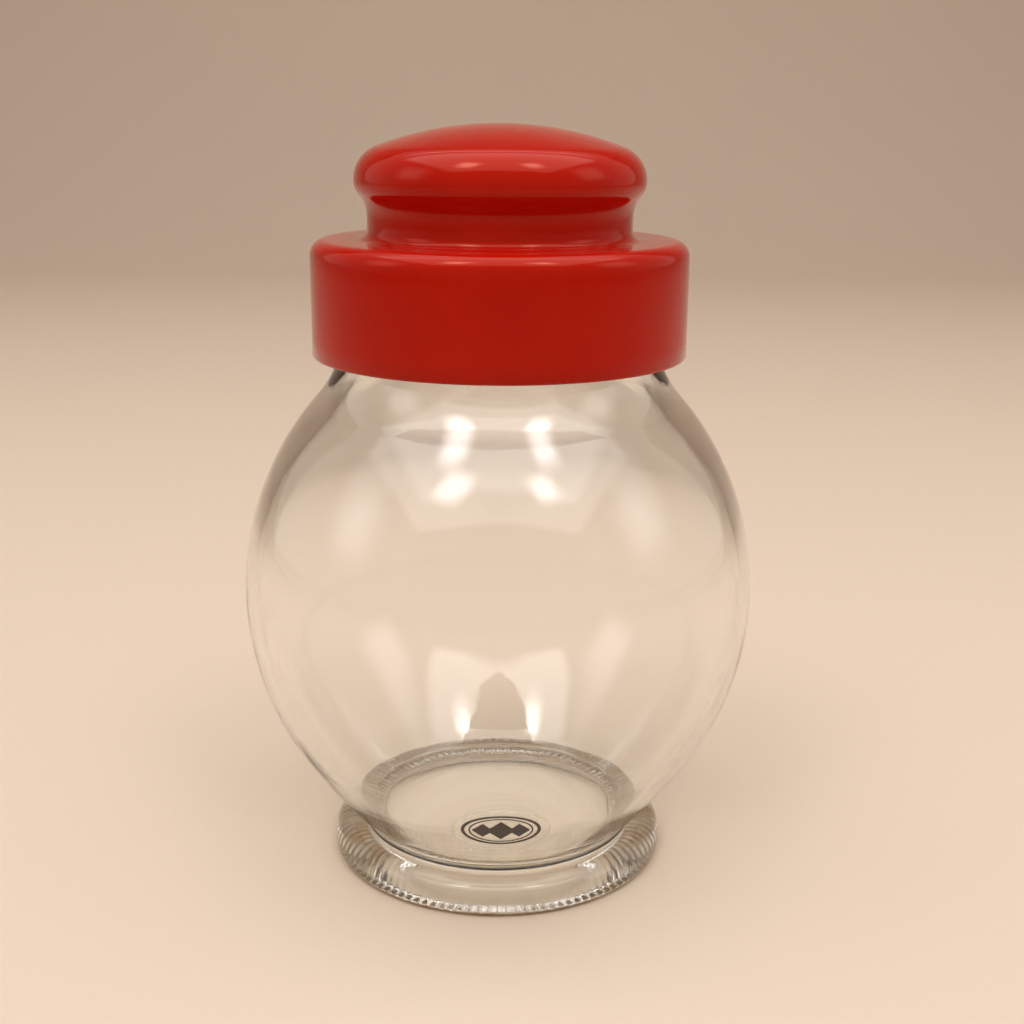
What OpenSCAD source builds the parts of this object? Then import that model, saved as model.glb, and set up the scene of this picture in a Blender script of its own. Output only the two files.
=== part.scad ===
// Round glass storage jar with a push-in plastic lid.
// A globe on a ring foot, a wide mouth with a rolled lip, and a lid whose hollow
// mushroom knob is the grip. A soft seal ring on the lid's plug grips the mouth.
// Frame: +Z up, origin on the ground at the centre of the base, -Y is the front.
// The round pieces are half sections, drawn as x = radius and y = height, and turned about Z.
// Each section is a stack of level bands, so that its arcs meet where they are tangent.

/* [Globe] */
// Widest diameter of the globe
belly_d = 147; // [140:0.5:154]
// Height of the globe's widest line above the ground
belly_h = 81.6; // [78:0.1:86]
// Radius of the side of the globe, in section
belly_arc_r = 84.5; // [80:0.1:90]
// Radius of the flatter flank under the side, in section
flank_r = 178; // [150:1:220]
// Angle below the widest line at which the flank begins
flank_angle = 33; // [30:0.5:36]
// Glass thickness of the side and the flank
belly_wall = 3.6; // [2.6:0.1:4.6]
// Inside radius of the shoulder over the widest line, in section
shoulder_in_r = 70; // [66:0.5:74]

/* [Mouth] */
// Inside diameter of the mouth
mouth_d = 78; // [74:0.5:80]
// Glass thickness of the neck
neck_wall = 5.2; // [4:0.1:6]
// Height of the neck, from its sweep to the top of the lip
neck_h = 21; // [17:0.1:25]
// Radius of the sweep from the shoulder into the neck, outside
neck_sweep_r = 29; // [24:0.1:36]
// Radius of the same sweep, inside
neck_sweep_in_r = 26; // [18:0.5:32]
// Width by which the rolled lip stands proud of the neck
lip_proud = 2.3; // [1.4:0.1:3.4]
// Height of the rolled lip
lip_h = 7; // [5.5:0.1:9]
// Rounding of the lip's outer edges
lip_round = 2.4; // [1:0.1:2.6]
// Rounding of the mouth's inner edge
mouth_round = 1.5; // [0.5:0.1:2]

/* [Foot] */
// Diameter of the ring foot
foot_d = 99; // [94:0.5:104]
// Height of the ring foot
foot_h = 9.8; // [8.6:0.1:11]
// Rounding of the foot's upper edge
foot_round = 5.6; // [3:0.1:6]
// Rounding of the foot's lower edge
base_round = 2.2; // [1:0.1:2.4]
// Rounding of the waist, where the flank meets the foot
waist_round = 0.7; // [0.6:0.1:2.4]
// Inside diameter of the ring that stands on the ground
bearing_in_d = 78; // [70:0.5:84]
// Depth of the flat recess under the base
push_up = 2.6; // [1:0.1:4]
// Height of the inside floor above the ground
floor_h = 11.4; // [10:0.1:14]
// Rounding where the inside wall meets the floor
floor_round = 6; // [3:0.5:10]

/* [Lid] */
// Radial room between the lip and the inside of the skirt
skirt_room = 3.9; // [2:0.1:6]
// Height of the skirt, from its lower edge to the shoulder
skirt_h = 31.9; // [26:0.1:36]
// Rounding of the skirt's upper edge
skirt_round = 4.2; // [2:0.1:6]
// Width of the bevel along the skirt's lower edge
skirt_bevel = 0.4; // [0.2:0.1:1]
// Height of the same bevel
skirt_bevel_h = 0.6; // [0.3:0.1:1.5]
// Wall of the lid moulding
lid_wall = 2.1; // [1.6:0.1:2.8]
// Length of the plug below the rim that holds the seal up
plug_tail = 3.7; // [0.5:0.1:9]

/* [Knob] */
// Width by which the knob's neck stands inside the plug's outer face
knob_inset = 0.3; // [0.1:0.1:2]
// Width by which the knob's bulge overhangs its neck
knob_overhang = 3.5; // [2.5:0.1:5]
// Height of the knob's widest line over the shoulder
knob_h = 15.8; // [14.5:0.1:20]
// Radius of the hollow flare under the bulge
knob_flare_r = 8.5; // [5:0.1:11]
// Radius of the bulge under its widest line
knob_under_r = 6; // [4.5:0.1:7.5]
// Radius of the bulge over its widest line
knob_over_r = 9.7; // [7:0.1:11]
// Radius of the dome on top
knob_dome_r = 97; // [80:0.5:130]
// Rounding where the knob's neck meets the shoulder
knob_fillet = 2.6; // [0.8:0.1:3.4]

/* [Seal ring] */
// Thickness of the seal's sleeve around the plug
seal_wall = 0.9; // [0.6:0.1:1.2]
// Height of the seal's sleeve
seal_h = 9; // [6:0.5:10]
// Thickness of the flange that lies on the lip
seal_flange = 1; // [0.6:0.1:1.6]
// Width of the lip that the flange leaves bare
seal_flange_inset = 3.5; // [1.5:0.1:5]
// Number of fins around the sleeve
fin_count = 3; // [2:1:4]
// Height of a fin at its root
fin_h = 1.4; // [0.8:0.1:1.4]
// Height of the rim on the plug that holds the seal up
retainer_h = 1.2; // [0.8:0.1:2]

/* [Label] */
// Width of the oval label
label_w = 26.6; // [16:0.2:34]
// Height of the oval label, seen from the front
label_h = 17.2; // [12:0.2:22]
// Height of the label's centre above the ground
label_z = 30.5; // [27:0.1:60]
// Angle of the label round the globe, from the front
label_turn = 1; // [-30:1:30]
// Thickness of the label film
label_t = 0.2; // [0.1:0.05:0.4]

/* [Fits] */
// Gap between the lip and the seal's flange, and between the fins and the mouth
seal_gap = 0.2; // [0.1:0.05:0.4]
// Gap between the seal ring and the lid that carries it
snap_gap = 0.05; // [0.02:0.01:0.1]
// Radial room between the plug and the mouth, which the seal fills
plug_room = 2; // [1.6:0.1:2.6]
// Adhesive between the label and the glass
glue_gap = 0.05; // [0.02:0.01:0.1]

/* [Hidden] */
$fn = 128;

glass_colour = [0.80, 0.88, 0.85, 0.35];
lid_colour = [0.80, 0.07, 0.03];
seal_colour = [0.93, 0.92, 0.88];
label_colour = [0.25, 0.16, 0.10];

mouth_r = mouth_d / 2;
neck_r = mouth_r + neck_wall;
lip_r = neck_r + lip_proud;
reach = belly_d;     // wider than any section, for bands and cuts

// Centres of the arcs of the globe's section
belly_x = belly_d / 2 - belly_arc_r;
flank_x = belly_x + (belly_arc_r - flank_r) * cos(flank_angle);
flank_z = belly_h + (flank_r - belly_arc_r) * sin(flank_angle);
shoulder_x = belly_d / 2 - belly_wall - shoulder_in_r;

// Heights go to the nearest hundredth, so that a band ends exactly where the next one begins
function level(z) = round(z * 100) / 100;

// Heights at which a sweep of radius s into a neck of radius n ends, and where it leaves a shoulder arc
function sweep_z(x, r, n, s) = level(belly_h + sqrt(pow(r + s, 2) - pow(n + s - x, 2)));
function leave_z(x, r, n, s) = belly_h + (sweep_z(x, r, n, s) - belly_h) * r / (r + s);

// The neck and the lip stand on the sweep
neck_z = sweep_z(belly_x, belly_arc_r, neck_r, neck_sweep_r);
jar_h = neck_z + neck_h;

// Lid heights and radii, stacked on the lip and in the mouth
lid_under = jar_h + seal_gap + seal_flange + snap_gap;
lid_shoulder = lid_under + lid_wall;
skirt_low = lid_shoulder - skirt_h;
skirt_r = lip_r + skirt_room + lid_wall;
plug_r = mouth_r - plug_room;
knob_neck_r = plug_r - knob_inset;
knob_r = knob_neck_r + knob_overhang;
seal_in_r = plug_r + snap_gap;
seal_out_r = seal_in_r + seal_wall;
seal_top = lid_under - snap_gap;
seal_low = seal_top - seal_flange - seal_h;
retainer_top = seal_low - snap_gap;
retainer_low = retainer_top - retainer_h;
plug_low = retainer_low - plug_tail;
fin_r = mouth_r - seal_gap;
fin_root = seal_wall / 3;      // how far a fin is rooted in the sleeve

// A bar from the axis out to x, from height lo to height hi
module bar(x, lo, hi) {
  translate([0, level(lo)]) square([x, level(hi) - level(lo)]);
}

// A level slice of the half plane
module band(lo, hi) {
  bar(reach, lo, hi);
}

module disc(x, z, r) {
  translate([x, z]) circle(r);
}

// The part of a full round of radius r at (x, z) between two heights, filled in to the axis
module bulge(x, z, r, lo, hi) {
  intersection() {
    union() {
      disc(x, z, r);
      if (x > 0) bar(x, z - r, z + r);
    }
    band(lo, hi);
  }
}

// A bar that is hollowed at its side by a round of radius r, whose centre is at (x, z)
module hollow(x, z, r, lo, hi) {
  difference() {
    bar(x, lo, hi);
    disc(x, z, r);
  }
}

// A bar with a rounded upper corner
module capped_bar(x, lo, hi, r) {
  bar(x - r, lo, hi);
  bar(x, lo, hi - r);
  if (r > 0) bulge(x - r, hi - r, r, hi - r, hi);
}

// A bar with rounded outer corners
module rounded_bar(x, lo, hi, r_lo, r_hi) {
  capped_bar(x, lo + r_lo, hi, r_hi);
  bar(x - r_lo, lo, lo + r_lo);
  bulge(x - r_lo, lo + r_lo, r_lo, lo, lo + r_lo);
}

// Flank and side of the globe, moved inwards by w and cut off below height lo
module globe_side(w, lo, hi) {
  meet = belly_h - (belly_arc_r - w) * sin(flank_angle);
  bulge(flank_x, flank_z, flank_r - w, lo, meet);
  bulge(belly_x, belly_h, belly_arc_r - w, meet, hi);
}

module jar_outside() {
  waist_z = foot_h + waist_round;
  waist_x = flank_x + sqrt(pow(flank_r + waist_round, 2) - pow(flank_z - waist_z, 2));
  waist_top = flank_z + (waist_z - flank_z) * flank_r / (flank_r + waist_round);
  leave = leave_z(belly_x, belly_arc_r, neck_r, neck_sweep_r);
  rounded_bar(foot_d / 2, 0, foot_h, base_round, foot_round);
  hollow(waist_x, waist_z, waist_round, foot_h, waist_top);
  globe_side(0, waist_top, leave);
  hollow(neck_r + neck_sweep_r, neck_z, neck_sweep_r, leave, neck_z);
  bar(neck_r, neck_z, jar_h - lip_h / 2);
  rounded_bar(lip_r, jar_h - lip_h, jar_h, lip_round, lip_round);
}

module jar_inside() {
  in_r = flank_r - belly_wall;
  corner_z = floor_h + floor_round;
  corner_x = flank_x + sqrt(pow(in_r - floor_round, 2) - pow(flank_z - corner_z, 2));
  corner_top = flank_z + (corner_z - flank_z) * in_r / (in_r - floor_round);
  sweep = sweep_z(shoulder_x, shoulder_in_r, mouth_r, neck_sweep_in_r);
  leave = leave_z(shoulder_x, shoulder_in_r, mouth_r, neck_sweep_in_r);
  bulge(corner_x, corner_z, floor_round, floor_h, corner_top);
  globe_side(belly_wall, corner_top, belly_h);
  bulge(shoulder_x, belly_h, shoulder_in_r, belly_h, leave);
  hollow(mouth_r + neck_sweep_in_r, sweep, neck_sweep_in_r, leave, sweep);
  bar(mouth_r, sweep, jar_h);
  hollow(mouth_r + mouth_round, jar_h - mouth_round, mouth_round, jar_h - mouth_round, jar_h);
}

// The flat recess under the base, which ends in a round all along the bearing ring
module base_recess() {
  bulge(bearing_in_d / 2 - push_up, 0, push_up, 0, push_up);
}

module glass_jar() {
  color(glass_colour) rotate_extrude() intersection() {
    difference() {
      jar_outside();
      jar_inside();
      base_recess();
    }
    band(0, jar_h);
  }
}

// Section of the knob from the shoulder up, moved inwards by w
module knob_section(w, low) {
  bulge_z = lid_shoulder + knob_h;
  flare_r = knob_flare_r + w;
  under_r = knob_under_r - w;
  over_r = knob_over_r - w;
  dome_r = knob_dome_r - w;
  neck_x = knob_neck_r - w;
  under_x = knob_r - knob_under_r;
  over_x = knob_r - knob_over_r;
  flare_z = level(bulge_z - sqrt(pow(under_r + flare_r, 2) - pow(neck_x + flare_r - under_x, 2)));
  flare_top = bulge_z + (flare_z - bulge_z) * under_r / (under_r + flare_r);
  dome_z = bulge_z - sqrt(pow(dome_r - over_r, 2) - pow(over_x, 2));
  dome_low = dome_z + (bulge_z - dome_z) * dome_r / (dome_r - over_r);
  bar(neck_x, low, flare_z);
  hollow(neck_x + flare_r, flare_z, flare_r, flare_z, flare_top);
  bulge(under_x, bulge_z, under_r, flare_top, bulge_z);
  bulge(over_x, bulge_z, over_r, bulge_z, dome_low);
  bulge(0, dome_z, dome_r, dome_low, dome_z + dome_r);
}

module skirt_section() {
  low = level(skirt_low);
  bevel_top = level(skirt_low + skirt_bevel_h);
  difference() {
    union() {
      polygon([[0, low], [skirt_r - skirt_bevel, low], [skirt_r, bevel_top], [0, bevel_top]]);
      capped_bar(skirt_r, bevel_top, lid_shoulder, skirt_round);
    }
    capped_bar(skirt_r - lid_wall, low, lid_under, max(0, skirt_round - lid_wall));
  }
}

module plug_section() {
  bar(plug_r, plug_low, lid_under);
  bar(plug_r + seal_wall, retainer_low, retainer_top);
}

module lid_shell() {
  color(lid_colour) rotate_extrude() {
    difference() {
      union() {
        skirt_section();
        knob_section(0, lid_shoulder);
        hollow(knob_neck_r + knob_fillet, lid_shoulder + knob_fillet, knob_fillet, lid_shoulder,
          lid_shoulder + knob_fillet);
        plug_section();
      }
      knob_section(lid_wall, lid_under);
      bar(plug_r - lid_wall, plug_low, lid_under);
    }
  }
}

module fin(low) {
  polygon([[seal_out_r - fin_root, low], [fin_r, low + fin_h / 2], [seal_out_r - fin_root, low + fin_h]]);
}

module seal_ring() {
  pitch = seal_h / fin_count;
  color(seal_colour) rotate_extrude() {
    difference() {
      union() {
        bar(seal_out_r, seal_low, seal_top);
        bar(lip_r - seal_flange_inset, seal_top - seal_flange, seal_top);
        for (i = [0 : fin_count - 1]) fin(seal_low + (i + 0.5) * pitch - fin_h / 2);
      }
      bar(seal_in_r, seal_low, seal_top);
    }
  }
}

// The label's oval, as seen from the front
module label_oval() {
  steps = 60;
  polygon([for (i = [0 : steps - 1]) [label_w / 2 * cos(i * 360 / steps), label_h / 2 * sin(i * 360 / steps)]]);
}

module maker_label() {
  low = label_z - label_h;
  high = label_z + label_h;
  color(label_colour) intersection() {
    rotate_extrude() difference() {
      globe_side(-glue_gap - label_t, low, high);
      globe_side(-glue_gap, low, high);
    }
    translate([0, 0, label_z]) rotate([90, 0, label_turn]) linear_extrude(belly_d) label_oval();
  }
}

glass_jar();
lid_shell();
seal_ring();
maker_label();
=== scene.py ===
"""Looks of a round glass storage jar with a push-in plastic lid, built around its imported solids."""
import logging
import math
from dataclasses import dataclass, field
from enum import Enum
from typing import Any, Callable, Optional, Sequence

import bmesh
import bpy
from mathutils import Matrix, Vector


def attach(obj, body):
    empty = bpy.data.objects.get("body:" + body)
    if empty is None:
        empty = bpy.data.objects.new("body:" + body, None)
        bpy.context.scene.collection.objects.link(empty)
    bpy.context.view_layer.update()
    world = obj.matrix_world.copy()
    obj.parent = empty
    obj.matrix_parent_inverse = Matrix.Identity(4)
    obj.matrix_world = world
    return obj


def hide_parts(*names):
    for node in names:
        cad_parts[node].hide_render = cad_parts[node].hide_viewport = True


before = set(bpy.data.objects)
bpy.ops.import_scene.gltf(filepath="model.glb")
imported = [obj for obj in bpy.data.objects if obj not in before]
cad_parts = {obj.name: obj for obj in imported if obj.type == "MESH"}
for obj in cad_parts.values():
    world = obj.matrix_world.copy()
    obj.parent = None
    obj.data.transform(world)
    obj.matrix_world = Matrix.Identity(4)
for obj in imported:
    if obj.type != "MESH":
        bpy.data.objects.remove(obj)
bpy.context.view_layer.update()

log = logging.getLogger("jar")

MM = 0.001  # sizes below are in millimetres, and meshes are in metres
SAME_POINT = 0.004  # two points of an outline that are nearer than this are one, in millimetres
ON_AXIS = 1e-6  # a radius under this one is on the axis, in millimetres
Point = tuple[float, float]
Colour = tuple[float, float, float]
Triple = tuple[float, float, float]


class Body(Enum):
    """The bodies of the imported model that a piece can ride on."""

    JAR = "jar"
    LID = "lid"


class Slot(Enum):
    """The material slots of the record."""

    GLASS = "glass"
    LID = "lid_plastic"
    SEAL = "seal_plastic"
    LABEL = "label_film"


# ---------------------------------------------------------------- half sections


def arc(x: float, z: float, r: float, start: float, end: float, step: float = 4.0) -> list[Point]:
    """Points on an arc of an upright section.

    Args:
        x: How far out the centre of the arc stands.
        z: Height of the centre.
        r: Radius of the arc.
        start: Angle of the first point, in degrees from outwards towards upwards.
        end: Angle of the last point.
        step: Largest angle between two points.

    Returns:
        The points, in the unit of the radius.
    """
    count = max(2, math.ceil(abs(end - start) / step))
    angles = [math.radians(start + (end - start) * i / count) for i in range(count + 1)]
    return [(x + r * math.cos(a), z + r * math.sin(a)) for a in angles]


def line(a: Point, b: Point, count: int = 1) -> list[Point]:
    """Points on a straight stretch from a to b, cut into count equal parts."""
    return [(a[0] + (b[0] - a[0]) * i / count, a[1] + (b[1] - a[1]) * i / count) for i in range(count + 1)]


def chain(*stretches: Sequence[Point]) -> list[Point]:
    """One outline from several stretches, without the points that repeat.

    Args:
        stretches: Lists of points, in the order of the outline.

    Returns:
        The outline's points, in millimetres.
    """
    points: list[Point] = []
    for stretch in stretches:
        for p in stretch:
            if not points or math.dist(points[-1], p) > SAME_POINT:
                points.append(p)
    return points


@dataclass(frozen=True)
class Lathe:
    """Turns a half section about the Z axis into a mesh."""

    segments: int = 320
    crease: float = 32.0  # an edge that bends more than this stays sharp, in degrees

    def turn(
        self,
        name: str,
        outline: Sequence[Point],
        closed: bool = False,
        lift: Optional[Callable[[float, float, float], float]] = None,
    ) -> bpy.types.Object:
        """Turns an outline.

        Args:
            name: Name of the piece.
            outline: Points of the half section, which run anticlockwise round the material.
            closed: True if the last point joins the first one, as on a ring.
            lift: Height added at a radius, a height and an angle, in millimetres.

        Returns:
            The new object, in metres.
        """
        mesh = bmesh.new()
        rings = [self._ring(mesh, p, lift) for p in outline]
        pairs = list(zip(rings, rings[1:]))
        if closed:
            pairs.append((rings[-1], rings[0]))
        for low, high in pairs:
            self._band(mesh, low, high)
        for edge in mesh.edges:
            if len(edge.link_faces) == 2:
                edge.smooth = edge.calc_face_angle(0.0) < math.radians(self.crease)
        for face in mesh.faces:
            face.smooth = True
        return add_object(name, mesh)

    def _ring(self, mesh: bmesh.types.BMesh, p: Point, lift: Optional[Callable]) -> list:
        """Makes the vertices of one outline point, which is a single one on the axis.

        Args:
            mesh: The mesh that they go into.
            p: The outline point.
            lift: Height added at a radius, a height and an angle.

        Returns:
            The vertices, in the order of their angle.
        """
        if p[0] < ON_AXIS:
            return [mesh.verts.new((0, 0, p[1] * MM))]
        ring = []
        for i in range(self.segments):
            a = 2 * math.pi * i / self.segments
            z = p[1] + (lift(p[0], p[1], a) if lift else 0.0)
            ring.append(mesh.verts.new((p[0] * MM * math.cos(a), p[0] * MM * math.sin(a), z * MM)))
        return ring

    def _band(self, mesh: bmesh.types.BMesh, low: list, high: list) -> None:
        """Makes the faces between two rings, or none between two points on the axis.

        Args:
            mesh: The mesh that they go into.
            low: Vertices of the first ring.
            high: Vertices of the next ring.
        """
        if len(low) == len(high) == 1:
            return
        n = self.segments
        for i in range(n):
            j = (i + 1) % n
            corners = [low[i % len(low)], low[j % len(low)], high[j % len(high)], high[i % len(high)]]
            mesh.faces.new(list(dict.fromkeys(corners)))


def add_object(name: str, mesh: bmesh.types.BMesh) -> bpy.types.Object:
    """Makes an object of a bmesh, with its normals outwards.

    Args:
        name: Name of the object and of its mesh.
        mesh: The bmesh, which is freed.

    Returns:
        The object, linked to the scene.
    """
    bmesh.ops.recalc_face_normals(mesh, faces=mesh.faces)
    data = bpy.data.meshes.new(name)
    mesh.to_mesh(data)
    mesh.free()
    piece = bpy.data.objects.new(name, data)
    bpy.context.scene.collection.objects.link(piece)
    return piece


def settle(piece: bpy.types.Object, body: Body, node: str) -> None:
    """Lets a piece ride on its body and stand for its CAD node.

    Args:
        piece: The piece.
        body: The body that it moves with.
        node: The CAD node that it stands for.
    """
    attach(piece, body.value)
    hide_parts(node)
    log.info("%s: %d faces, rides on %s", piece.name, len(piece.data.polygons), body.value)


# ---------------------------------------------------------------- finishes


class Nodes:
    """A node tree, with short ways to add and join nodes."""

    def __init__(self, tree: bpy.types.NodeTree) -> None:
        """Takes up the tree."""
        self.tree = tree

    def add(self, kind: str, inputs: Optional[dict[str, Any]] = None, **settings: Any) -> bpy.types.Node:
        """Adds a node.

        Args:
            kind: The node's type, without its ShaderNode prefix.
            inputs: Values or output sockets for the node's inputs, by name or number.
            settings: Properties of the node.

        Returns:
            The node.
        """
        node = self.tree.nodes.new("ShaderNode" + kind)
        for key, value in settings.items():
            setattr(node, key, value)
        for key, value in (inputs or {}).items():
            if isinstance(value, bpy.types.NodeSocket):
                self.tree.links.new(value, node.inputs[key])
            else:
                node.inputs[key].default_value = value
        return node

    def join(self, source: bpy.types.NodeSocket, target: bpy.types.NodeSocket) -> None:
        """Links an output socket to an input socket."""
        self.tree.links.new(source, target)

    def math(self, operation: str, *values: Any) -> bpy.types.NodeSocket:
        """The result of a Math node on up to three values or sockets."""
        return self.add("Math", dict(enumerate(values)), operation=operation).outputs[0]


class Shader(Nodes):
    """A material and its node tree."""

    def __init__(self, name: str) -> None:
        """Starts an empty material.

        Args:
            name: The material's name.
        """
        self.material = bpy.data.materials.new(name)
        self.material.use_nodes = True
        super().__init__(self.material.node_tree)
        self.tree.nodes.clear()
        self.out = self.tree.nodes.new("ShaderNodeOutputMaterial")

    def place(self) -> bpy.types.NodeSocket:
        """The point of the piece in the model's own frame, in metres."""
        return self.add("TexCoord").outputs["Object"]

    def noise(self, scale: float, detail: float = 2.0, stretch: Triple = (1, 1, 1)) -> bpy.types.NodeSocket:
        """A grey noise from 0 to 1.

        Args:
            scale: Waves per metre.
            detail: How many finer layers it has.
            stretch: Factors along X, Y and Z, under 1 where the noise is drawn out.

        Returns:
            The noise's socket.
        """
        mapping = self.add("Mapping", {"Vector": self.place(), "Scale": stretch})
        node = self.add("TexNoise", {"Vector": mapping.outputs[0], "Scale": scale, "Detail": detail})
        return node.outputs["Fac"]

    def spread(self, fac: bpy.types.NodeSocket, low: float, high: float) -> bpy.types.NodeSocket:
        """Maps a noise's middle range, 0.3 to 0.7, onto low to high."""
        node = self.add("MapRange", {"Value": fac, 1: 0.3, 2: 0.7, 3: low, 4: high})
        return node.outputs["Result"]

    def bump(self, height: bpy.types.NodeSocket, depth: float, before: Any = None) -> bpy.types.NodeSocket:
        """Tilts the normal by a height.

        Args:
            height: The height's socket, from 0 to 1.
            depth: The depth that 1 stands for, in metres.
            before: An earlier normal, on which the bump lies.

        Returns:
            The normal's socket.
        """
        inputs = {"Height": height, "Distance": depth, "Strength": 1.0}
        if before is not None:
            inputs["Normal"] = before
        return self.add("Bump", inputs).outputs["Normal"]

    def blend(self, fac: Any, a: Any, b: Any) -> bpy.types.NodeSocket:
        """A colour between two others.

        Args:
            fac: The share of b, from 0 to 1.
            a: The colour at 0.
            b: The colour at 1.

        Returns:
            The colour's socket.
        """
        node = self.add("Mix", data_type="RGBA")
        for key, value in ((0, fac), (6, a), (7, b)):
            if isinstance(value, bpy.types.NodeSocket):
                self.join(value, node.inputs[key])
            else:
                node.inputs[key].default_value = value if key == 0 else (*value, 1.0)
        return node.outputs[2]


@dataclass(frozen=True)
class ClearGlass:
    """Fire-polished soda-lime glass: nearly colourless, with a slow wave left by the mould.

    Lengths are in metres, and the scales of the noises in waves per metre.
    """

    tint: Colour = (0.99, 0.995, 0.985)
    tint_pale: Colour = (1.0, 1.0, 1.0)
    depth_tint: Colour = (0.82, 0.90, 0.70)
    depth_density: float = 4.0  # absorption per metre of glass
    ior: float = 1.52
    wave: float = 0.00022  # depth of the slow wave
    wave_scale: float = 38.0
    wave_stretch: Triple = (1, 1, 0.6)
    chill: float = 0.00003  # depth of the fine chill marks
    chill_scale: float = 120.0
    chill_stretch: Triple = (1, 1, 0.5)
    dull: float = 0.025  # most roughness on the polished faces
    dull_scale: float = 60.0
    shade: Colour = (0.95, 0.96, 0.95)  # what a surface lets through to the ground
    foot_shade: Colour = (0.24, 0.20, 0.15)
    foot_in_r: float = 0.036  # where the foot's thick ring begins
    foot_top: float = 0.011
    scuff_and_shade: float = 0.45  # how far the ribbed face that the foot stands on has turned dull and brown: partly real scuffing, partly painted shade for the shadowed paper under the ring
    # painted shade: the brown of the shadowed paper under the foot ring, given to the ribbed face
    scuff_and_shade_tint: Colour = (0.42, 0.26, 0.12)
    scuff_rough: float = 0.05
    scuff_and_shade_least: float = 0.6  # share of the scuff and its painted shade where it is thinnest
    scuff_and_shade_in_r: float = 0.0385
    scuff_and_shade_top: float = 0.0012
    fade_out: float = 0.001  # width over which a ring begins
    fade_up: float = 0.0005  # height over which it ends

    def _ring(self, s: Shader, inner: float, top: float) -> bpy.types.NodeSocket:
        """Marks a low ring of the glass.

        Args:
            s: The material.
            inner: Radius at which the ring begins.
            top: Height up to which it reaches.

        Returns:
            A socket that is 1 on the ring and 0 elsewhere.
        """
        spot = s.add("SeparateXYZ", {0: s.place()})
        flat = s.add("CombineXYZ", {0: spot.outputs[0], 1: spot.outputs[1]})
        away = s.add("VectorMath", {0: flat.outputs[0]}, operation="LENGTH").outputs["Value"]
        ring = s.add("MapRange", {0: away, 1: inner, 2: inner + self.fade_out})
        low = s.add("MapRange", {0: spot.outputs[2], 1: top + self.fade_up, 2: top})
        return s.math("MULTIPLY", ring.outputs[0], low.outputs[0])

    def dress(self, name: str) -> bpy.types.Material:
        """Makes the material, which lets light from lamps through to what stands behind.

        Args:
            name: The material's name.

        Returns:
            The material.
        """
        s = Shader(name)
        slow = s.noise(self.wave_scale, 1.0, self.wave_stretch)
        fine = s.noise(self.chill_scale, 2.0, self.chill_stretch)
        normal = s.bump(fine, self.chill, s.bump(slow, self.wave))
        rough = s.spread(s.noise(self.dull_scale, 3.0), 0.0, self.dull)
        colour = s.blend(slow, self.tint, self.tint_pale)
        # Painted shade on the ribbed ring under the foot: part of the glass there turns diffuse and brown in
        # place of the shadowed paper seen through it; part of the dullness is real scuffing.
        ring = self._ring(s, self.scuff_and_shade_in_r, self.scuff_and_shade_top)
        worn_and_shaded = s.math("MULTIPLY", ring, s.spread(fine, self.scuff_and_shade_least, 1.0))
        glass = s.add("BsdfPrincipled", {
            "Base Color": s.blend(worn_and_shaded, colour, self.scuff_and_shade_tint), "IOR": self.ior, "Normal": normal,
            "Roughness": s.math("MAXIMUM", rough, s.math("MULTIPLY", worn_and_shaded, self.scuff_rough)),
            "Transmission Weight": s.math("SUBTRACT", 1.0, s.math("MULTIPLY", worn_and_shaded, self.scuff_and_shade)),
        })
        foot = self._ring(s, self.foot_in_r, self.foot_top)
        through = s.add("BsdfTransparent", {"Color": s.blend(foot, self.shade, self.foot_shade)})
        shadow = s.add("LightPath").outputs["Is Shadow Ray"]
        mix = s.add("MixShader", {0: shadow, 1: glass.outputs[0], 2: through.outputs[0]})
        s.join(mix.outputs[0], s.out.inputs["Surface"])
        inside = s.add("VolumeAbsorption", {
            "Color": (*self.depth_tint, 1.0), "Density": self.depth_density,
        })
        s.join(inside.outputs[0], s.out.inputs["Volume"])
        return s.material


@dataclass(frozen=True)
class MouldedPlastic:
    """A glossy moulded plastic, with a slight peel in its polish and a little haze from handling.

    Depths are in metres, and the scales of the noises in waves per metre.
    """

    colour: Colour
    deep: Colour
    ior: float = 1.5
    polish: float = 0.09
    haze: float = 0.05
    haze_scale: float = 260.0
    haze_stretch: Triple = (1, 1, 0.25)
    gloss: float = 0.5
    glint: Colour = (1.0, 1.0, 1.0)  # tint of the reflections
    cloud_scale: float = 45.0
    peel: float = 0.000006
    peel_scale: float = 700.0
    sink: float = 0.00012  # depth of the slow sinks that moulding leaves
    sink_scale: float = 28.0
    scatter: float = 0.0
    scatter_depth: float = 0.002
    scatter_spread: Triple = (1.0, 0.25, 0.12)  # how far red, green and blue go, as shares of the depth

    def dress(self, name: str) -> bpy.types.Material:
        """Makes the material.

        Args:
            name: The material's name.

        Returns:
            The material.
        """
        s = Shader(name)
        cloud = s.noise(self.cloud_scale, 4.0)
        peel = s.noise(self.peel_scale, 2.0)
        sink = s.noise(self.sink_scale, 1.0)
        rub = s.noise(self.haze_scale, 5.0, self.haze_stretch)
        p = s.add("BsdfPrincipled", {
            "Base Color": s.blend(s.spread(cloud, 0.0, 1.0), self.colour, self.deep),
            "Roughness": s.spread(rub, self.polish, self.polish + self.haze), "IOR": self.ior,
            "Normal": s.bump(peel, self.peel, s.bump(sink, self.sink)),
            "Specular IOR Level": self.gloss, "Specular Tint": (*self.glint, 1.0),
            "Subsurface Weight": self.scatter, "Subsurface Scale": self.scatter_depth,
            "Subsurface Radius": self.scatter_spread,
        })
        s.join(p.outputs[0], s.out.inputs["Surface"])
        return s.material


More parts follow.
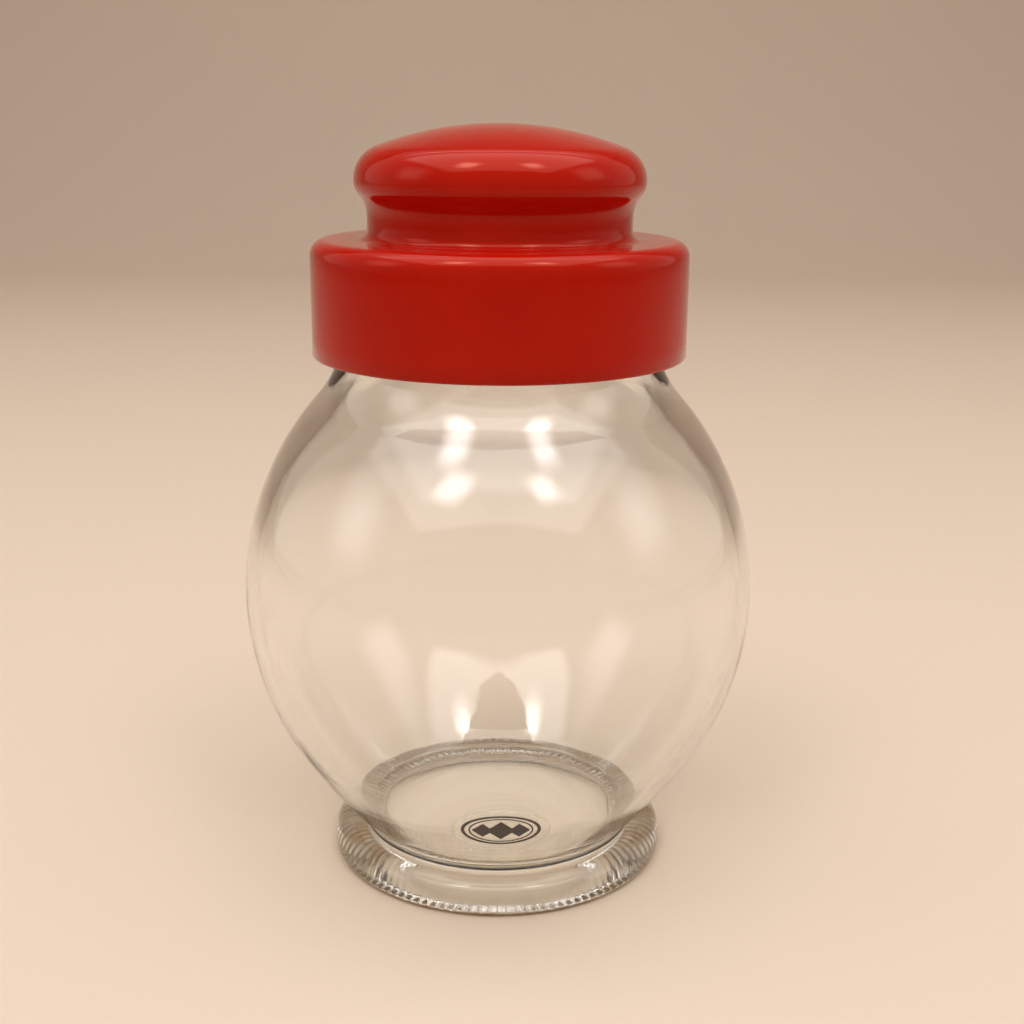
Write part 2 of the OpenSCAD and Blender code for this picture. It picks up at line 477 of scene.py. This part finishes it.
@dataclass(frozen=True)
class PrintedFilm:
    """Clear gloss film with a plain oval mark printed in dark brown. Sizes in millimetres."""

    ink: Colour = (0.014, 0.006, 0.004)
    ink_least: float = 0.93  # share of the ink where the print is thinnest
    grain: float = 2500.0  # waves per metre in the ink
    half_w: float = 10.75  # half of the printed oval's width
    half_h: float = 6.4
    border: float = 0.085  # the outer line's width, as a share of the oval
    inner: float = 0.79  # the inner line's place, as a share of the oval
    inner_w: float = 0.04
    lozenges: tuple[tuple[float, float], ...] = ((0.0, 3.9), (-4.9, 2.9), (4.9, 2.9))  # place, half size
    film: Colour = (0.90, 0.86, 0.82)
    film_haze: float = 0.05
    edge_w: float = 0.025  # width of the film's cut edge, as a share of the film
    edge_haze: float = 0.30
    rough: float = 0.12
    ior: float = 1.46

    def dress(self, name: str, half_w: float, half_h: float) -> bpy.types.Material:
        """Makes the material, which takes the place on the film from the UV map, in millimetres.

        Args:
            name: The material's name.
            half_w: Half of the film's width.
            half_h: Half of its height.

        Returns:
            The material.
        """
        s = Shader(name)
        xy = s.add("SeparateXYZ", {0: s.add("UVMap", uv_map="film").outputs[0]})
        x, y = xy.outputs[0], xy.outputs[1]
        oval = self._out(s, x, y, self.half_w, self.half_h)
        marks = [s.math("COMPARE", oval, 1 - self.border / 2, self.border / 2)]
        marks.append(s.math("COMPARE", oval, self.inner, self.inner_w / 2))
        marks += [self._lozenge(s, x, y, place, half) for place, half in self.lozenges]
        ink = marks[0]
        for mark in marks[1:]:
            ink = s.math("MAXIMUM", ink, mark)
        ink = s.math("MULTIPLY", ink, s.spread(s.noise(self.grain, 2.0), self.ink_least, 1.0))
        edge = s.math("GREATER_THAN", self._out(s, x, y, half_w, half_h), 1 - self.edge_w)
        haze = s.math("ADD", s.math("MULTIPLY", edge, self.edge_haze), self.film_haze)
        p = s.add("BsdfPrincipled", {
            "Base Color": s.blend(ink, self.film, self.ink), "Roughness": self.rough, "IOR": self.ior,
            "Alpha": s.math("MAXIMUM", ink, haze),
        })
        s.join(p.outputs[0], s.out.inputs["Surface"])
        return s.material

    def _out(self, s: Shader, x: Any, y: Any, half_w: float, half_h: float) -> bpy.types.NodeSocket:
        """How far out in an oval a point lies.

        Args:
            s: The material.
            x: The point's place across.
            y: The point's place upwards.
            half_w: Half of the oval's width.
            half_h: Half of its height.

        Returns:
            A socket that is 0 in the oval's middle and 1 on its line.
        """
        across, up = s.math("MULTIPLY", x, 1 / half_w), s.math("MULTIPLY", y, 1 / half_h)
        return s.math("SQRT", s.math("ADD", s.math("POWER", across, 2.0), s.math("POWER", up, 2.0)))

    def _lozenge(self, s: Shader, x: Any, y: Any, place: float, half: float) -> bpy.types.NodeSocket:
        """1 inside a lozenge on the oval's long axis, which is as wide as it is high."""
        away = s.math("ABSOLUTE", s.math("SUBTRACT", x, place))
        return s.math("LESS_THAN", s.math("ADD", away, s.math("ABSOLUTE", y)), half)


# ---------------------------------------------------------------- pieces


@dataclass
class Jar:
    """The glass: a globe on a ribbed ring foot, with a swept neck and a rolled lip. Sizes in millimetres."""

    belly_r: float = 73.5
    belly_h: float = 81.6
    belly_arc_r: float = 84.5
    flank_r: float = 178.0
    flank_angle: float = 33.0
    wall: float = 3.6
    shoulder_in_r: float = 70.0
    mouth_r: float = 39.0
    neck_wall: float = 5.2
    neck_h: float = 21.0
    sweep_r: float = 29.0
    sweep_in_r: float = 26.0
    lip_proud: float = 2.3
    lip_h: float = 7.0
    lip_round: float = 2.4
    mouth_round: float = 1.5
    foot_r: float = 49.5
    foot_h: float = 9.8
    foot_round: float = 5.6
    base_round: float = 2.2
    waist_round: float = 0.7
    bearing_in_r: float = 39.0
    push_up: float = 2.6
    floor_h: float = 11.4
    floor_round: float = 6.0
    rib_count: int = 106
    rib_depth: float = 0.4
    rib_in_r: float = 39.0  # radius at which the ribs begin
    rib_fade: float = 0.8  # width over which they rise
    points_per_rib: int = 6
    finish: ClearGlass = field(default_factory=ClearGlass)

    def __post_init__(self) -> None:
        """Works out the centres of the globe's arcs, and the neck and the lip that stand on them."""
        self.belly_x = self.belly_r - self.belly_arc_r
        self.neck_r = self.mouth_r + self.neck_wall
        self.lip_r = self.neck_r + self.lip_proud
        across = self.neck_r + self.sweep_r - self.belly_x
        self.neck_z = self.belly_h + math.sqrt((self.belly_arc_r + self.sweep_r) ** 2 - across**2)
        self.leave = math.degrees(math.acos(across / (self.belly_arc_r + self.sweep_r)))
        self.height = self.neck_z + self.neck_h
        bend = math.radians(self.flank_angle)
        self.flank_x = self.belly_x + (self.belly_arc_r - self.flank_r) * math.cos(bend)
        self.flank_z = self.belly_h + (self.flank_r - self.belly_arc_r) * math.sin(bend)

    def build(self) -> bpy.types.Object:
        """Builds the glass as one closed mesh and dresses it.

        Returns:
            The piece.
        """
        outline = chain(self._underside(), self._outside(), self._mouth(), self._inside())
        lathe = Lathe(segments=self.rib_count * self.points_per_rib)
        piece = lathe.turn("jar_glass", outline, lift=self._rib)
        piece.data.materials.append(self.finish.dress("clear_glass"))
        settle(piece, Body.JAR, "glass_jar")
        return piece

    def _underside(self) -> list[Point]:
        """From the middle of the recess under the base to the outer edge of the bearing ring.

        Returns:
            The points.
        """
        half, top = self.bearing_in_r, self.push_up
        return chain(
            line((0, top), (half - top, top), 3),
            arc(half - top, 0, top, 90, 0, 15),
            line((half, 0), (self.foot_r - self.base_round, 0), 7),
        )

    def _outside(self) -> list[Point]:
        """From the bearing ring up the foot, the globe and the neck to the top of the lip.

        Returns:
            The points.
        """
        waist_z = self.foot_h + self.waist_round
        span = math.sqrt((self.flank_r + self.waist_round) ** 2 - (self.flank_z - waist_z) ** 2)
        waist_x = self.flank_x + span
        start = math.degrees(math.atan2(waist_z - self.flank_z, span))
        r, top = self.lip_round, self.height
        return chain(
            arc(self.foot_r - self.base_round, self.base_round, self.base_round, -90, 0, 12),
            arc(self.foot_r - self.foot_round, self.foot_h - self.foot_round, self.foot_round, 0, 90, 7),
            arc(waist_x, waist_z, self.waist_round, 270, 180 + start, 20),
            arc(self.flank_x, self.flank_z, self.flank_r, start, -self.flank_angle, 2.0),
            arc(self.belly_x, self.belly_h, self.belly_arc_r, -self.flank_angle, self.leave, 3.4),
            arc(self.neck_r + self.sweep_r, self.neck_z, self.sweep_r, 180 + self.leave, 180, 5),
            line((self.neck_r, self.neck_z), (self.neck_r, top - self.lip_h)),
            arc(self.lip_r - r, top - self.lip_h + r, r, -90, 0, 15),
            arc(self.lip_r - r, top - r, r, 0, 90, 15),
        )

    def _mouth(self) -> list[Point]:
        """Over the lip and down into the mouth."""
        r = self.mouth_round
        return arc(self.mouth_r + r, self.height - r, r, 90, 180, 18)

    def _inside(self) -> list[Point]:
        """Down the inside of the neck and the globe to the middle of the floor.

        Returns:
            The points.
        """
        shoulder_x = self.belly_r - self.wall - self.shoulder_in_r
        neck_x = self.mouth_r + self.sweep_in_r
        rise = math.sqrt((self.shoulder_in_r + self.sweep_in_r) ** 2 - (neck_x - shoulder_x) ** 2)
        leave = math.degrees(math.atan2(rise, neck_x - shoulder_x))
        in_r = self.flank_r - self.wall
        corner_z = self.floor_h + self.floor_round
        span = math.sqrt((in_r - self.floor_round) ** 2 - (self.flank_z - corner_z) ** 2)
        turn = math.degrees(math.atan2(corner_z - self.flank_z, span))
        corner_x = self.flank_x + span
        return chain(
            arc(neck_x, self.belly_h + rise, self.sweep_in_r, 180, 180 + leave, 6),
            arc(shoulder_x, self.belly_h, self.shoulder_in_r, leave, 0, 3.4),
            arc(self.belly_x, self.belly_h, self.belly_arc_r - self.wall, 0, -self.flank_angle, 3.4),
            arc(self.flank_x, self.flank_z, in_r, -self.flank_angle, turn, 2.0),
            arc(corner_x, corner_z, self.floor_round, turn, -90, 8),
            line((corner_x, self.floor_h), (0, self.floor_h), 3),
        )

    def _rib(self, r: float, z: float, angle: float) -> float:
        """Height of the grooves between the ribs under the foot.

        Args:
            r: Radius of a point of the glass.
            z: Its height.
            angle: Its angle round the axis, in radians.

        Returns:
            What is added to the point's height.
        """
        rise = min(1.0, max(0.0, (r - self.rib_in_r) / self.rib_fade))
        fall = min(1.0, max(0.0, (self.base_round - z) / self.base_round))
        wave = 0.5 - 0.5 * math.cos(self.rib_count * angle)
        return self.rib_depth * rise * fall * wave


@dataclass
class Lid:
    """The lid: a smooth skirt, a flat shoulder, a hollow mushroom knob and the plug inside. Millimetres."""

    jar: Jar
    lip_gap: float = 1.25  # from the lip to the ceiling of the lid, which the seal's flange fills
    wall: float = 2.1
    skirt_room: float = 3.9
    skirt_h: float = 31.9
    skirt_round: float = 4.2
    bevel: float = 0.4
    bevel_h: float = 0.6
    plug_room: float = 2.0
    plug_h: float = 15.0
    rim_w: float = 0.9
    rim_h: float = 1.2
    rim_drop: float = 10.1  # from the ceiling to the rim that holds the seal up
    knob_inset: float = 0.3
    knob_overhang: float = 3.5
    knob_h: float = 15.8
    flare_r: float = 8.5
    under_r: float = 6.0
    over_r: float = 9.7
    dome_r: float = 97.0
    fillet: float = 2.6
    finish: MouldedPlastic = field(default_factory=lambda: MouldedPlastic(
        colour=(0.45, 0.006, 0.0004), deep=(0.41, 0.004, 0.0003), polish=0.07, gloss=0.34,
        glint=(1.0, 0.45, 0.30)))

    def __post_init__(self) -> None:
        """Works out the lid's heights and radii from the jar's lip and mouth."""
        self.under = self.jar.height + self.lip_gap
        self.shoulder = self.under + self.wall
        self.skirt_r = self.jar.lip_r + self.skirt_room + self.wall
        self.plug_r = self.jar.mouth_r - self.plug_room
        self.knob_neck_r = self.plug_r - self.knob_inset
        self.knob_r = self.knob_neck_r + self.knob_overhang

    def build(self) -> bpy.types.Object:
        """Builds the lid as one closed mesh and dresses it.

        Returns:
            The piece.
        """
        ceiling = list(reversed(self._knob(self.wall)))
        piece = Lathe().turn("lid_moulding", chain(self._skirt(), self._knob(0.0), ceiling, self._plug()))
        piece.data.materials.append(self.finish.dress("red_plastic"))
        settle(piece, Body.LID, "lid_shell")
        return piece

    def _skirt(self) -> list[Point]:
        """Round the skirt from its inner lower edge to the foot of the knob.

        Returns:
            The points.
        """
        low = self.shoulder - self.skirt_h
        edge = low + self.bevel_h
        r = self.skirt_round
        return chain(
            [(self.skirt_r - self.wall, low), (self.skirt_r - self.bevel, low)],
            line((self.skirt_r, edge), (self.skirt_r, self.shoulder - r), 6),
            arc(self.skirt_r - r, self.shoulder - r, r, 0, 90, 9),
            line((self.skirt_r - r, self.shoulder), (self.knob_neck_r + self.fillet, self.shoulder), 4),
            arc(self.knob_neck_r + self.fillet, self.shoulder + self.fillet, self.fillet, 270, 180, 15),
        )

    def _knob(self, inset: float) -> list[Point]:
        """The knob's side and dome, up to the middle of its top.

        Args:
            inset: How far the points are moved into the wall.

        Returns:
            The points.
        """
        bulge = self.shoulder + self.knob_h
        flare, under, over = self.flare_r + inset, self.under_r - inset, self.over_r - inset
        dome, neck = self.dome_r - inset, self.knob_neck_r - inset
        under_x, over_x = self.knob_r - self.under_r, self.knob_r - self.over_r
        across = neck + flare - under_x
        drop = math.sqrt((under + flare) ** 2 - across**2)
        turn = math.degrees(math.atan2(-drop, across))
        dome_z = bulge - math.sqrt((dome - over) ** 2 - over_x**2)
        crown = math.degrees(math.atan2(bulge - dome_z, over_x))
        return chain(
            line((neck, self.shoulder + self.fillet), (neck, bulge - drop), 2),
            arc(neck + flare, bulge - drop, flare, 180, 180 + turn, 6),
            arc(under_x, bulge, under, turn, 0, 8),
            arc(over_x, bulge, over, 0, crown, 6),
            arc(0, dome_z, dome, crown, 90, 1.2),
        )

    def _plug(self) -> list[Point]:
        """Down the plug, round its lower end, up to the ceiling and down the inside of the skirt.

        Returns:
            The points.
        """
        in_r = self.plug_r - self.wall
        low = self.under - self.plug_h
        rim_r, rim_top = self.plug_r + self.rim_w, self.under - self.rim_drop
        inner = self.skirt_r - self.wall
        r = self.skirt_round - self.wall
        return chain(
            [(self.knob_neck_r - self.wall, self.under), (in_r, self.under), (in_r, low), (self.plug_r, low)],
            [(self.plug_r, rim_top - self.rim_h), (rim_r, rim_top - self.rim_h), (rim_r, rim_top)],
            [(self.plug_r, rim_top), (self.plug_r, self.under)],
            arc(inner - r, self.under - r, r, 90, 0, 15),
            [(inner, self.shoulder - self.skirt_h)],
        )


@dataclass
class Seal:
    """The soft ring round the plug: a sleeve, a flange and three fins. Millimetres."""

    lid: Lid
    gap: float = 0.05  # between the ring and the lid
    mouth_gap: float = 0.2
    wall: float = 0.9
    height: float = 9.0
    flange: float = 1.0
    flange_inset: float = 3.5
    fin_h: float = 1.4
    fin_count: int = 3
    segments: int = 200
    finish: MouldedPlastic = field(default_factory=lambda: MouldedPlastic(
        colour=(0.80, 0.78, 0.71), deep=(0.76, 0.73, 0.65), polish=0.38, haze=0.12, scatter=0.35))

    def build(self) -> bpy.types.Object:
        """Builds the ring and dresses it.

        Returns:
            The piece.
        """
        in_r, top = self.lid.plug_r + self.gap, self.lid.under - self.gap
        out_r, fin_r = in_r + self.wall, self.lid.jar.mouth_r - self.mouth_gap
        flange_r = self.lid.jar.lip_r - self.flange_inset
        low = top - self.flange - self.height
        pitch = self.height / self.fin_count
        points: list[Point] = [(in_r, low), (out_r, low)]
        for i in range(self.fin_count):
            middle = low + (i + 0.5) * pitch
            points += [(out_r, middle - self.fin_h / 2), (fin_r, middle), (out_r, middle + self.fin_h / 2)]
        points += [(out_r, top - self.flange), (flange_r, top - self.flange), (flange_r, top), (in_r, top)]
        piece = Lathe(segments=self.segments).turn("seal", points, closed=True)
        piece.data.materials.append(self.finish.dress("seal_polyethylene"))
        settle(piece, Body.LID, "seal_ring")
        return piece


@dataclass
class Label:
    """The oval film on the lower front of the globe. Millimetres."""

    jar: Jar
    width: float = 26.6
    height: float = 17.2
    centre_z: float = 30.5
    turn: float = 1.0  # degrees round the globe from the front
    thickness: float = 0.2
    glue: float = 0.05
    rings: int = 24
    spokes: int = 96
    finish: PrintedFilm = field(default_factory=PrintedFilm)

    def build(self) -> bpy.types.Object:
        """Builds the film on the glass and dresses it.

        Returns:
            The piece.
        """
        mesh = bmesh.new()
        film = mesh.loops.layers.uv.new("film")
        back, front = (self._sheet(mesh, gap) for gap in (self.glue, self.glue + self.thickness))
        for sheet in (back, front):
            for a, b in zip(sheet, sheet[1:]):
                for i in range(self.spokes):
                    j = (i + 1) % self.spokes
                    quad = [a[i % len(a)], a[j % len(a)], b[j], b[i]]
                    mesh.faces.new([v for v, _ in dict.fromkeys(quad)])
        for i in range(self.spokes):
            j = (i + 1) % self.spokes
            mesh.faces.new([back[-1][i][0], back[-1][j][0], front[-1][j][0], front[-1][i][0]])
        places = {v: p for sheet in (back, front) for ring in sheet for v, p in ring}
        for face in mesh.faces:
            face.smooth = True
            for loop in face.loops:
                loop[film].uv = places[loop.vert]
        piece = add_object("label_film", mesh)
        film_finish = self.finish.dress("printed_film", self.width / 2, self.height / 2)
        piece.data.materials.append(film_finish)
        settle(piece, Body.JAR, "maker_label")
        return piece

    def _sheet(self, mesh: bmesh.types.BMesh, gap: float) -> list[list]:
        """Makes one face of the film as rings of vertices, from its middle outwards.

        Args:
            mesh: The mesh that they go into.
            gap: How far they stand off the glass.

        Returns:
            The rings, in which each vertex comes with its place on the film.
        """
        rings = []
        for k in range(self.rings + 1):
            share = k / self.rings
            count = self.spokes if k else 1
            ring = []
            for i in range(count):
                a = 2 * math.pi * i / self.spokes
                u, v = self.width / 2 * share * math.cos(a), self.height / 2 * share * math.sin(a)
                ring.append((mesh.verts.new(self._on_globe(u, v, gap)), (u, v)))
            rings.append(ring)
        return rings

    def _on_globe(self, u: float, v: float, gap: float) -> Vector:
        """The point of the globe behind a point of the oval, seen from the front.

        Args:
            u: Place across the oval.
            v: Place up the oval.
            gap: How far the point stands off the glass.

        Returns:
            The point, in metres.
        """
        jar = self.jar
        z = self.centre_z + v
        limit = jar.belly_h - (jar.belly_arc_r + gap) * math.sin(math.radians(jar.flank_angle))
        if z < limit:
            r = jar.flank_x + math.sqrt((jar.flank_r + gap) ** 2 - (z - jar.flank_z) ** 2)
        else:
            r = jar.belly_x + math.sqrt((jar.belly_arc_r + gap) ** 2 - (z - jar.belly_h) ** 2)
        p = Vector((u, -math.sqrt(r * r - u * u), z)) * MM
        return Matrix.Rotation(math.radians(self.turn), 3, "Z") @ p


# ---------------------------------------------------------------- studio and camera


@dataclass(frozen=True)
class Lamp:
    """A rectangular softbox that fades towards its edges, aimed at a point of the object.

    Places and sizes are in metres, and the power is in watts.
    """

    name: str
    place: Triple
    size: tuple[float, float]
    power: float
    fade: float  # the share of its half width over which it fades
    aim: Triple = (0.0, 0.0, 0.1)

    def light(self) -> None:
        """Adds the lamp."""
        data = bpy.data.lights.new(self.name, "AREA")
        data.shape = "RECTANGLE"
        data.size, data.size_y = self.size
        data.energy = self.power
        data.use_nodes = True
        n = Nodes(data.node_tree)
        spot = n.add("SeparateXYZ", {0: n.add("NewGeometry").outputs["Parametric"]})
        fades = []
        for axis in (0, 1):
            away = n.math("ABSOLUTE", n.math("SUBTRACT", spot.outputs[axis], 0.5))
            edge = n.add("MapRange", {0: away, 1: 0.5, 2: 0.5 * (1 - self.fade), 3: 0.0, 4: 1.0},
                         interpolation_type="SMOOTHSTEP")
            fades.append(edge.outputs[0])
        n.join(n.math("MULTIPLY", *fades), data.node_tree.nodes["Emission"].inputs["Strength"])
        lamp = bpy.data.objects.new(self.name, data)
        lamp.location = self.place
        lamp.rotation_euler = (Vector(self.aim) - Vector(self.place)).to_track_quat("-Z", "Y").to_euler()
        bpy.context.scene.collection.objects.link(lamp)


@dataclass
class Studio:
    """A pale paper sweep under soft lamps. Sizes in metres."""

    paper: Colour = (0.73, 0.58, 0.455)
    width: float = 6.0
    front: float = -2.5
    bend_y: float = 1.6
    bend_r: float = 0.9
    bend_steps: int = 24
    top: float = 3.0
    drop: float = 0.0001  # keeps the paper from the underside of the foot
    rough: float = 0.9
    gloss: float = 0.2
    stain: float = 0.97  # share of its colour that the paper keeps where its clouds are darkest
    stain_scale: float = 3.0
    tooth: float = 0.00003
    tooth_scale: float = 900.0
    world: Colour = (0.95, 0.82, 0.68)
    world_strength: float = 0.2
    seen_strength: float = 0.68  # for what the camera sees straight, through glass or mirrored
    lamps: tuple[Lamp, ...] = (
        Lamp("ceiling", (0.0, -0.5, 1.9), (3.4, 2.6), 58.0, fade=0.2, aim=(0.0, -0.5, 0.0)),
        Lamp("window_left", (-0.43, -0.55, 1.35), (0.42, 0.60), 8.5, fade=0.9),
        Lamp("window_right", (0.43, -0.55, 1.35), (0.38, 0.55), 6.5, fade=0.9),
        Lamp("backdrop", (0.0, 1.0, 1.9), (3.2, 0.5), 10.0, fade=0.6, aim=(0.0, 2.2, 0.4)),
        Lamp("side_left", (-1.30, -0.35, 0.80), (0.9, 1.1), 4.5, fade=0.8),
        Lamp("side_right", (1.30, -0.30, 0.85), (0.9, 1.1), 4.5, fade=0.8),
    )

    def build(self) -> None:
        """Adds the sweep, the lamps and the world."""
        mesh = bmesh.new()
        corner = arc(self.bend_y, self.bend_r, self.bend_r, -90, 0, 90 / self.bend_steps)
        path = [(self.front, 0.0), *corner, (self.bend_y + self.bend_r, self.top)]
        path = [(y, z - self.drop) for y, z in path]
        rows = [[mesh.verts.new((x, y, z)) for x in (-self.width / 2, self.width / 2)] for y, z in path]
        for a, b in zip(rows, rows[1:]):
            mesh.faces.new([a[0], a[1], b[1], b[0]]).smooth = True
        sweep = add_object("paper_sweep", mesh)
        sweep.data.materials.append(self._paper())
        for lamp in self.lamps:
            lamp.light()
        bpy.context.scene.world = self._room()
        log.info("studio: %d lamps", len(self.lamps))

    def _room(self) -> bpy.types.World:
        """An even, dim room, which is paler to look at than the light that it gives.

        Returns:
            The world.
        """
        world = bpy.data.worlds.new("room")
        world.use_nodes = True
        nodes = Nodes(world.node_tree)
        background = world.node_tree.nodes["Background"]
        path = nodes.add("LightPath").outputs
        seen = nodes.math("MAXIMUM", path["Is Camera Ray"], path["Is Transmission Ray"])
        seen = nodes.math("MAXIMUM", seen, path["Is Glossy Ray"])
        strength = nodes.add("MapRange", {0: seen, 3: self.world_strength, 4: self.seen_strength})
        background.inputs[0].default_value = (*self.world, 1.0)
        nodes.join(strength.outputs[0], background.inputs[1])
        return world

    def _paper(self) -> bpy.types.Material:
        """Matt paper with a faint tooth.

        Returns:
            The material.
        """
        s = Shader("paper")
        tooth = s.noise(self.tooth_scale, 3.0)
        stained = tuple(c * self.stain for c in self.paper)
        p = s.add("BsdfPrincipled", {
            "Base Color": s.blend(s.noise(self.stain_scale, 2.0), self.paper, stained),
            "Roughness": self.rough, "Specular IOR Level": self.gloss, "Normal": s.bump(tooth, self.tooth),
        })
        s.join(p.outputs[0], s.out.inputs["Surface"])
        return s.material


@dataclass(frozen=True)
class View:
    """The camera in front of the jar, looking down at it."""

    distance: float = 0.4080  # from the jar's axis to the camera, in metres
    height: float = 0.2153
    pitch: float = 15.338  # degrees
    yaw: float = 0.544
    roll: float = 0.407
    focal: float = 1450.0  # focal length in pixels, for a picture that is frame_px across
    frame_px: float = 1024.0
    sensor: float = 36.0  # millimetres
    near: float = 0.01  # metres

    def place(self) -> None:
        """Adds the camera and makes it the scene's."""
        data = bpy.data.cameras.new("view")
        data.sensor_width = self.sensor
        data.lens = self.focal / self.frame_px * self.sensor
        data.clip_start = self.near
        camera = bpy.data.objects.new("view", data)
        th, ya, ro = (math.radians(a) for a in (self.pitch, self.yaw, self.roll))
        right = Vector((math.cos(ya), -math.sin(ya), 0))
        ahead = Vector((math.sin(ya) * math.cos(th), math.cos(ya) * math.cos(th), -math.sin(th)))
        up = right.cross(ahead)
        across = math.cos(ro) * right + math.sin(ro) * up
        upward = math.cos(ro) * up - math.sin(ro) * right
        turn = Matrix((across, upward, -ahead)).transposed()
        camera.matrix_world = Matrix.Translation((0, -self.distance, self.height)) @ turn.to_4x4()
        bpy.context.scene.collection.objects.link(camera)
        bpy.context.scene.camera = camera


def main() -> None:
    """Builds the jar and its studio."""
    logging.basicConfig(level=logging.INFO, format="%(name)s: %(message)s")
    bpy.context.scene.view_settings.view_transform = "Standard"
    View().place()
    Studio().build()
    jar = Jar()
    jar.build()
    lid = Lid(jar)
    lid.build()
    Seal(lid).build()
    Label(jar).build()


if __name__ == "__main__":
    main()
